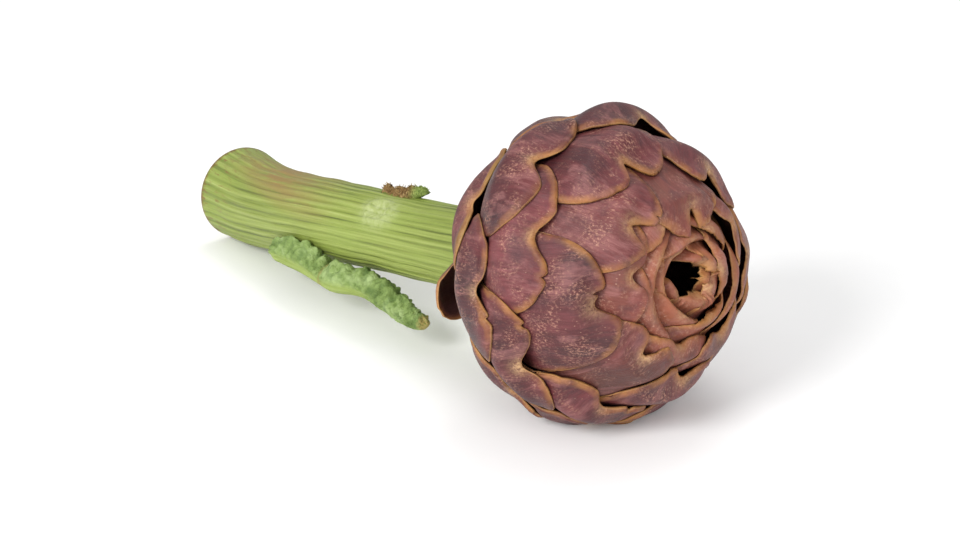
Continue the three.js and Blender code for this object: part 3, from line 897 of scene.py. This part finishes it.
def build_leaf(settings):
    """The curled leaf: a smooth midrib below, and a crinkled blade folded up over it."""
    count, around = 250, 72
    shares = np.linspace(0, 1, count)
    rows, slopes = catmull_rom(LEAF_PATH, shares)
    side = np.cross(np.array([0, 0, 1.0]), slopes)
    side /= np.linalg.norm(side, axis=1)[:, None]
    up = np.cross(slopes, side)
    turn = 2 * math.pi * np.arange(around) / around
    rng = np.random.default_rng(settings.seed + 7)
    mm = shares * LEAF_LENGTH
    height, thick = rows[:, 3][:, None], rows[:, 4][:, None]
    rise_share, out_share = np.sin(turn)[None, :], np.cos(turn)[None, :]
    top = np.clip(rise_share, 0, 1)
    # The blade is pinched where the leaf creases, and its upper edge is ruffled.
    crease = np.exp(-(((shares - LEAF_CREASE) / 0.028) ** 2))[:, None]
    ruffle = waves(rng, 5, 0.4, 0.42 * mm)[:, None] * smoothstep(shares, 0.05, 0.2)[:, None]
    rise = rise_share * height * (1 + top * (0.12 * ruffle - 0.34 * crease)) * (1 - 0.1 * crease)
    out = thick * out_share * (1 - 0.5 * top ** 2 + 0.2 * (1 - top)) * (1 + 0.12 * crease)
    folds = waves(rng, 6, 0.3, 0.7 * mm[:, None], 2.4 * rise_share)
    to_the_tip = smoothstep(mm, 46, 58)[:, None]
    blade = np.maximum(smoothstep(rise_share, -0.45, 0.15), to_the_tip * smoothstep(rise_share, -1.0, -0.6))
    ends = np.sqrt(np.clip(np.minimum(shares / 0.03, (1 - shares) / 0.03), 0, 1))[:, None]
    out = (out + 0.35 * folds * blade * out_share) * ends
    rise = (rise + 0.2 * folds * blade) * ends
    rings = rows[:, None, :3] + side[:, None, :] * out[..., None] + up[:, None, :] * rise[..., None]
    points = np.concatenate([rings.reshape(-1, 3), [rows[0, :3], rows[-1, :3]]])
    place = np.stack([np.broadcast_to(mm[:, None], rise.shape), rise, out], -1).reshape(-1, 3)
    values = {
        "place": np.concatenate([place, [(0, 0, 0), (LEAF_LENGTH, 0, 0)]]),
        "blade": np.concatenate([(blade * ends).ravel(), [0, 0]]),
        "share": np.concatenate([np.repeat(shares, around), [0, 1]]),
    }
    piece = mesh_object("leaf_skin", to_row(points), ring_faces(count, around), values)
    fix_normals(piece)
    material = leaf_material()
    tree, sockets = crinkle_tree()
    run_nodes(piece, tree, sockets, {
        "Crinkle size": settings.crinkle_size / MM, "Crinkle height": settings.crinkle_height,
        "Material": material})
    flatten_floor(piece)
    declare(piece, "leaf", "curled_leaf")
    return piece


def crinkle_tree():
    """Puckers a blade between its veins."""
    t = TreeMaker("leaf crinkle", {
        "Crinkle size": "NodeSocketFloat", "Crinkle height": "NodeSocketFloat",
        "Material": "NodeSocketMaterial",
    })
    place = t.vector("place")
    bent = t.noise(place, 0.5, 1.0, 1)
    moved = t.node("ShaderNodeVectorMath", {0: place, 1: bent}, operation="ADD").outputs[0]
    cells = t.node("ShaderNodeTexVoronoi", {
        "Vector": moved, "Scale": t.math("DIVIDE", 1.0, t.start["Crinkle size"])}, feature="SMOOTH_F1")
    pucker = cells.outputs["Distance"]
    height = t.times(t.times(t.math("SUBTRACT", 0.55, pucker), t.number("blade")), t.start["Crinkle height"])
    offset = t.along(t.node("GeometryNodeInputNormal").outputs[0], height)
    shaped = t.node("GeometryNodeSetPosition", {"Geometry": t.stored("pucker", pucker), "Offset": offset})
    return t.finish(shaped.outputs[0])


def leaf_material():
    p = Painter("leaf skin")
    place = p.vector("place")
    crinkle = p.cells(p.stretched(place, (0.8, 0.8, 0.8)), 1.0, "DISTANCE_TO_EDGE")
    # Painted shade: the sunken creases between the puckers are painted darker.
    crease_shade = p.times(p.between(p.number("pucker"), 0.45, 0.75), p.number("blade"))
    cloud = p.noise(place, 0.16, 4)
    down = p.noise(place, 2.6, 4, 0.7)
    blade = p.ramp(p.plus(p.times(cloud, 0.8), p.times(down, 0.2)),
                   (0.36, linear(88, 110, 54)), (0.5, linear(124, 146, 80)), (0.64, linear(152, 172, 112)))
    blade = p.mix(p.times(crease_shade, 0.6), blade, linear(70, 96, 44))
    midrib = p.ramp(p.noise(p.stretched(place, (0.05, 0.9, 0.9)), 1.0, 4),
                    (0.35, linear(130, 148, 66)), (0.65, linear(160, 176, 100)))
    colour = p.mix(p.number("blade"), midrib, blade)
    share = p.number("share")
    fold = p.times(p.between(share, LEAF_CREASE - 0.02, LEAF_CREASE - 0.004),
                  p.between(share, LEAF_CREASE + 0.016, LEAF_CREASE))
    grain = p.noise(place, 0.9, 4, 0.7)
    colour = p.mix(p.times(fold, p.between(grain, 0.35, 0.55, 0.0, 0.7)), colour, linear(142, 112, 60))
    tip = p.times(p.between(share, 0.94, 0.985), p.between(grain, 0.35, 0.6, 0.2, 0.8))
    colour = p.mix(tip, colour, linear(176, 140, 84))
    normal = p.bump(p.times(p.between(crinkle, 0.0, 0.35), p.number("blade")), 0.35, 0.6)
    normal = p.bump(down, 0.16, 0.6, normal)
    return p.finish(colour, p.between(down, 0.3, 0.7, 0.6, 0.82), normal, 0.3)


def bristle_tree():
    """Thin bristles that stand up from a surface, at random but the same each time."""
    t = TreeMaker("bristles", {
        "Density": "NodeSocketFloat", "Bristle length": "NodeSocketFloat",
        "Bristle radius": "NodeSocketFloat", "Seed": "NodeSocketInt", "Material": "NodeSocketMaterial",
    })
    mask = t.number("bristly")
    spots = t.node("GeometryNodeDistributePointsOnFaces", {
        "Mesh": t.start["Geometry"], "Density": t.times(mask, t.start["Density"]),
        "Seed": t.start["Seed"]})
    cone = t.node("GeometryNodeMeshCone", {
        "Vertices": 5, "Side Segments": 2, "Radius Top": 0.00003, "Radius Bottom": t.start["Bristle radius"],
        "Depth": t.start["Bristle length"]})
    spin = t.node("FunctionNodeRandomValue", {0: (-0.35, -0.35, 0.0), 1: (0.35, 0.35, 6.28), "Seed": 3},
                  data_type="FLOAT_VECTOR")
    size = t.node("FunctionNodeRandomValue", {2: 0.6, 3: 1.1, "Seed": 5}, data_type="FLOAT")
    turned = t.node("FunctionNodeRotateEuler", {
        "Rotation": spots.outputs["Rotation"], "Rotate By": spin.outputs[0]}, space="LOCAL")
    placed = t.node("GeometryNodeInstanceOnPoints", {
        "Points": spots.outputs["Points"], "Instance": cone.outputs[0], "Rotation": turned.outputs[0],
        "Scale": size.outputs[1]})
    joined = t.node("GeometryNodeJoinGeometry")
    t.tree.links.new(placed.outputs[0], joined.inputs[0])
    t.tree.links.new(t.start["Geometry"], joined.inputs[0])
    return t.finish(joined.outputs[0])


def build_choke(settings):
    """The cushion of unopened florets, set with bristles."""
    profile = np.array([(14.6, -5.7), (16.2, -3.5), (16.4, 0), (14.4, 4), (10, 7), (5, 8.4), (1.5, 8.8)])
    around = 60
    turn = 2 * math.pi * np.arange(around) / around
    fine = np.array([np.interp(np.linspace(0, 6, 31), np.arange(7), profile[:, k]) for k in (0, 1)]).T
    rings = np.stack([fine[:, :1] * np.cos(turn), fine[:, :1] * np.sin(turn),
                      np.repeat(fine[:, 1:], around, 1)], -1)
    points = np.concatenate([rings.reshape(-1, 3), [(0, 0, -5.9), (0, 0, 8.9)]])
    bristly = np.concatenate([np.repeat(smoothstep(fine[:, 1], -3, 1), around), [0, 1]])
    piece = mesh_object("choke_florets", to_row(lean_over(points)), ring_faces(31, around),
                        {"bristly": bristly})
    fix_normals(piece)
    p = Painter("choke florets")
    grain = p.noise(p.node("ShaderNodeTexCoord").outputs["Object"], 900.0, 4, 0.7)
    colour = p.ramp(grain, (0.3, linear(110, 70, 84)), (0.5, linear(168, 132, 124)),
                    (0.7, linear(214, 192, 160)))
    material = p.finish(colour, p.between(grain, 0.3, 0.7, 0.7, 0.9), p.bump(grain, 0.2, 0.6), 0.25)
    tree, sockets = bristle_tree()
    run_nodes(piece, tree, sockets, {
        "Density": settings.bristle_density, "Bristle length": settings.bristle_length,
        "Bristle radius": 0.00022, "Seed": settings.seed, "Material": material})
    declare(piece, "choke", "choke")
    return piece


def build_torn_base(settings):
    """The torn base of a leaf: a low ragged crest with a lifted flap at its head end."""
    rng = np.random.default_rng(settings.seed + 23)
    count, around = 90, 28
    shares = np.linspace(0, 1, count)
    x = -11 + 22 * shares
    keys = np.array([(-11, 0.4), (-10.2, 1.6), (-7, 2.4), (-5.4, 1.7), (-2, 2.8), (1.5, 2.1), (3.2, 3.5),
                     (6, 4.2), (7.4, 3.4), (9.6, 4.1), (11, 2.2)])
    crest = np.interp(x, keys[:, 0], keys[:, 1]) + 0.35 * waves(rng, 9, 0.2, 1.6 * x)
    crest = np.clip(crest, 0.25, 4.4)
    floor = np.interp(x, [-11, 4, 8.6, 11], [-1.8, -1.6, 0.9, 1.9])
    floor = np.minimum(floor, crest - 0.2)
    turn = 2 * math.pi * np.arange(around) / around
    middle, half = 0.5 * (crest + floor), 0.5 * (crest - floor)
    width = 2.3 * np.sqrt(np.clip(1 - (2 * np.abs(shares - 0.5)) ** 6, 0.02, 1))
    y = width[:, None] * np.cos(turn)[None, :] * (1 - 0.4 * np.clip(np.sin(turn), 0, 1)[None, :])
    y = y + 0.25 * waves(rng, 8, 0.2, 1.9 * x[:, None], 2 * turn[None, :])
    z = middle[:, None] + half[:, None] * np.sin(turn)[None, :]
    tilt = math.radians(TORN_BASE_TILT)
    px = np.broadcast_to(x[:, None], y.shape)
    points = np.stack([px * math.cos(tilt) - z * math.sin(tilt), y,
                       px * math.sin(tilt) + z * math.cos(tilt)], -1)
    points = points + np.array(TORN_BASE)
    ends = np.array([points[0].mean(0), points[-1].mean(0)])
    flap = np.broadcast_to(smoothstep(x, 2, 8)[:, None], y.shape).ravel()
    top = np.broadcast_to(np.clip(np.sin(turn), 0, 1)[None, :], y.shape).ravel()
    values = {
        "flap": np.concatenate([flap, [0, 1]]), "bristly": np.concatenate([top ** 2, [0, 0]]),
        "place": np.concatenate([points.reshape(-1, 3), ends]),
    }
    piece = mesh_object("torn_base_skin", to_row(np.concatenate([points.reshape(-1, 3), ends])),
                        ring_faces(count, around), values)
    fix_normals(piece)
    p = Painter("torn leaf base")
    place = p.vector("place")
    grain = p.noise(p.stretched(place, (0.5, 1.5, 0.8)), 1.0, 5, 0.7)
    brown = p.ramp(grain, (0.3, linear(84, 58, 34)), (0.5, linear(134, 104, 62)),
                   (0.68, linear(182, 158, 108)))
    green = p.ramp(grain, (0.3, linear(84, 104, 44)), (0.6, linear(150, 168, 88)))
    colour = p.mix(p.number("flap"), brown, green)
    material = p.finish(colour, 0.8, p.bump(grain, 0.5, 0.9), 0.3)
    tree, sockets = bristle_tree()
    run_nodes(piece, tree, sockets, {
        "Density": 1.6e6, "Bristle length": 0.0011, "Bristle radius": 0.00016, "Seed": settings.seed + 4,
        "Material": material})
    declare(piece, "stub", "torn_leaf_base")
    return piece


# ---------------------------------------------------------------- stage

def area_light(name, place, target, size, power):
    light = bpy.data.lights.new(name, "AREA")
    light.energy = power
    light.shape = "DISK"
    light.size = size
    lamp = bpy.data.objects.new(name, light)
    lamp.location = place
    lamp.rotation_euler = (Vector(target) - Vector(place)).to_track_quat("-Z", "Y").to_euler()
    bpy.context.scene.collection.objects.link(lamp)


def build_stage(settings):
    reach = 6.0
    mesh = bpy.data.meshes.new("floor")
    mesh.from_pydata([(-reach, -reach, 0), (reach, -reach, 0), (reach, reach, 0), (-reach, reach, 0)],
                     [], [(0, 1, 2, 3)])
    floor = bpy.data.objects.new("floor", mesh)
    bpy.context.scene.collection.objects.link(floor)
    p = Painter("floor")
    speckle = p.noise(p.node("ShaderNodeTexCoord").outputs["Object"], 40.0, 3)
    pale = settings.floor_colour[:]
    colour = p.ramp(speckle, (0.4, (*pale, 1)), (0.6, (*(0.99 * level for level in pale), 1)))
    mesh.materials.append(p.finish(colour, 0.9, p.bump(speckle, 0.01, 0.1), 0.1))
    world = bpy.data.worlds.new("studio")
    world.use_nodes = True
    world.node_tree.nodes["Background"].inputs["Color"].default_value = (1, 1, 1, 1)
    world.node_tree.nodes["Background"].inputs["Strength"].default_value = settings.sky_strength
    scene = bpy.context.scene
    scene.world = world
    scene.view_settings.view_transform = "Standard"
    power = settings.light_power
    area_light("key", (0.1, -1.15, 0.75), (0.03, 0, 0.04), 0.6, 14.5 * power)
    area_light("fill", (1.15, -0.45, 0.6), (0, 0, 0.04), 0.9, 5.5 * power)
    area_light("top", (-0.2, 0.5, 1.3), (0, 0, 0.04), 0.8, 4.5 * power)
    add_camera(settings)


def add_camera(settings):
    azimuth, elevation = math.radians(CAMERA_AZIMUTH), math.radians(CAMERA_ELEVATION)
    back = Vector((math.sin(azimuth) * math.cos(elevation), -math.cos(azimuth) * math.cos(elevation),
                   math.sin(elevation)))
    right = Vector((math.cos(azimuth), math.sin(azimuth), 0))
    up = back.cross(right)
    target = Vector(HEAD_CENTRE) + Vector(CAMERA_TARGET)
    data = bpy.data.cameras.new("camera")
    data.lens = settings.lens
    data.sensor_width = 36.0
    data.clip_start = 0.01
    data.clip_end = 50.0
    camera = bpy.data.objects.new("camera", data)
    turn = Matrix((right, up, back)).transposed()
    camera.matrix_world = Matrix.Translation(target + CAMERA_DISTANCE * back) @ turn.to_4x4()
    bpy.context.scene.collection.objects.link(camera)
    bpy.context.scene.camera = camera


# ---------------------------------------------------------------- add-on

def colour_property(name, description, colour):
    return bpy.props.FloatVectorProperty(
        name=name, description=description, subtype="COLOR", size=3, min=0, max=1, default=colour[:3])


class ArtichokeHeadSettings(bpy.types.PropertyGroup):
    thickness: bpy.props.FloatProperty(
        name="Thickness", description="Thickness of a bract in its middle", default=0.0016, unit="LENGTH")
    crown: bpy.props.FloatProperty(
        name="Crown", description="How far a bract bulges between its edges", default=0.0031, unit="LENGTH")
    hug: bpy.props.FloatProperty(
        name="Hug", description="How closely bracts lie on what they cover", default=0.9, subtype="FACTOR")
    unevenness: bpy.props.FloatProperty(
        name="Unevenness", description="How much bracts differ from the rule", default=1.0, subtype="FACTOR")
    seed: bpy.props.IntProperty(
        name="Seed", description="Which random differences the bracts get", default=11)
    deep_colour: colour_property("Deep", "The bracts' darkest skin", linear(52, 25, 29))
    skin_colour: colour_property("Skin", "The bracts' common skin", linear(83, 32, 36))
    pale_colour: colour_property("Pale", "The bracts' palest skin", linear(116, 56, 60))


class ArtichokeStemSettings(bpy.types.PropertyGroup):
    rib_count: bpy.props.IntProperty(name="Ribs", description="Ribs round the stem", default=31)
    rib_height: bpy.props.FloatProperty(
        name="Rib height", description="How far the ribs stand up", default=0.00014, unit="LENGTH")
    furrow_height: bpy.props.FloatProperty(
        name="Furrow height", description="Depth of the finer furrows", default=0.0013, unit="LENGTH")
    crinkle_size: bpy.props.FloatProperty(
        name="Crinkle size", description="Width of a pucker in the leaf", default=0.0023, unit="LENGTH")
    crinkle_height: bpy.props.FloatProperty(
        name="Crinkle height", description="Height of a pucker in the leaf", default=0.0011, unit="LENGTH")
    seed: bpy.props.IntProperty(name="Seed", description="Which lumps the stem and leaf get", default=5)


class ArtichokeChokeSettings(bpy.types.PropertyGroup):
    bristle_density: bpy.props.FloatProperty(
        name="Density", description="Bristles in a square metre", default=1500000.0)
    bristle_length: bpy.props.FloatProperty(
        name="Length", description="Length of a bristle", default=0.0022, unit="LENGTH")
    seed: bpy.props.IntProperty(name="Seed", description="Where the bristles stand", default=2)


class ArtichokeStageSettings(bpy.types.PropertyGroup):
    floor_colour: colour_property("Floor", "The floor's colour", (0.95, 0.95, 0.95))
    sky_strength: bpy.props.FloatProperty(
        name="Sky", description="Strength of the light from all round", default=0.62)
    light_power: bpy.props.FloatProperty(
        name="Lights", description="Power of the lights", default=1.0, subtype="FACTOR")
    lens: bpy.props.FloatProperty(
        name="Lens", description="The camera's focal length in millimetres", default=89.36)


class ARTICHOKE_OT_bracts(bpy.types.Operator):
    """Builds the spiral of bracts round the head"""
    bl_idname = "artichoke.bracts"
    bl_label = "Bracts"

    def execute(self, context):
        build_bracts(context.scene.artichoke_head)
        return {"FINISHED"}


class ARTICHOKE_OT_stem(bpy.types.Operator):
    """Builds the ribbed stem and the heart it grows into"""
    bl_idname = "artichoke.stem"
    bl_label = "Stem and heart"

    def execute(self, context):
        build_stem(context.scene.artichoke_stem)
        return {"FINISHED"}


class ARTICHOKE_OT_leaf(bpy.types.Operator):
    """Builds the curled leaf along the stem"""
    bl_idname = "artichoke.leaf"
    bl_label = "Curled leaf"

    def execute(self, context):
        build_leaf(context.scene.artichoke_stem)
        return {"FINISHED"}


class ARTICHOKE_OT_torn_base(bpy.types.Operator):
    """Builds the torn base of a leaf on top of the stem"""
    bl_idname = "artichoke.torn_base"
    bl_label = "Torn leaf base"

    def execute(self, context):
        build_torn_base(context.scene.artichoke_stem)
        return {"FINISHED"}


class ARTICHOKE_OT_choke(bpy.types.Operator):
    """Builds the bristly choke inside the head"""
    bl_idname = "artichoke.choke"
    bl_label = "Choke"

    def execute(self, context):
        build_choke(context.scene.artichoke_choke)
        return {"FINISHED"}


class ARTICHOKE_OT_stage(bpy.types.Operator):
    """Sets the floor, the lights and the camera"""
    bl_idname = "artichoke.stage"
    bl_label = "Stage"

    def execute(self, context):
        build_stage(context.scene.artichoke_stage)
        return {"FINISHED"}


class ARTICHOKE_PT_panel(bpy.types.Panel):
    """Shows the artichoke's settings and the buttons that build its pieces"""
    bl_label = "Artichoke"
    bl_space_type = "VIEW_3D"
    bl_region_type = "UI"
    bl_category = "Artichoke"

    def draw(self, context):
        scene = context.scene
        for title, groups in SETTINGS.items():
            box = self.layout.box()
            settings = getattr(scene, title)
            for key in groups[0].__annotations__:
                box.prop(settings, key)
            for operator in groups[1]:
                box.operator(operator.bl_idname)


SETTINGS = {
    "artichoke_head": (ArtichokeHeadSettings, (ARTICHOKE_OT_bracts,)),
    "artichoke_stem": (ArtichokeStemSettings, (ARTICHOKE_OT_stem, ARTICHOKE_OT_leaf, ARTICHOKE_OT_torn_base)),
    "artichoke_choke": (ArtichokeChokeSettings, (ARTICHOKE_OT_choke,)),
    "artichoke_stage": (ArtichokeStageSettings, (ARTICHOKE_OT_stage,)),
}


def register():
    for title, (group, operators) in SETTINGS.items():
        bpy.utils.register_class(group)
        setattr(bpy.types.Scene, title, bpy.props.PointerProperty(type=group))
        for operator in operators:
            bpy.utils.register_class(operator)
    bpy.utils.register_class(ARTICHOKE_PT_panel)


def unregister():
    bpy.utils.unregister_class(ARTICHOKE_PT_panel)
    for title, (group, operators) in SETTINGS.items():
        for operator in operators:
            bpy.utils.unregister_class(operator)
        delattr(bpy.types.Scene, title)
        bpy.utils.unregister_class(group)


HEAD_CENTRE = head_centre()


def main():
    register()
    bpy.ops.artichoke.stage()
    bpy.ops.artichoke.stem()
    bpy.ops.artichoke.choke()
    bpy.ops.artichoke.bracts()
    bpy.ops.artichoke.leaf()
    bpy.ops.artichoke.torn_base()


if __name__ == "__main__":
    main()
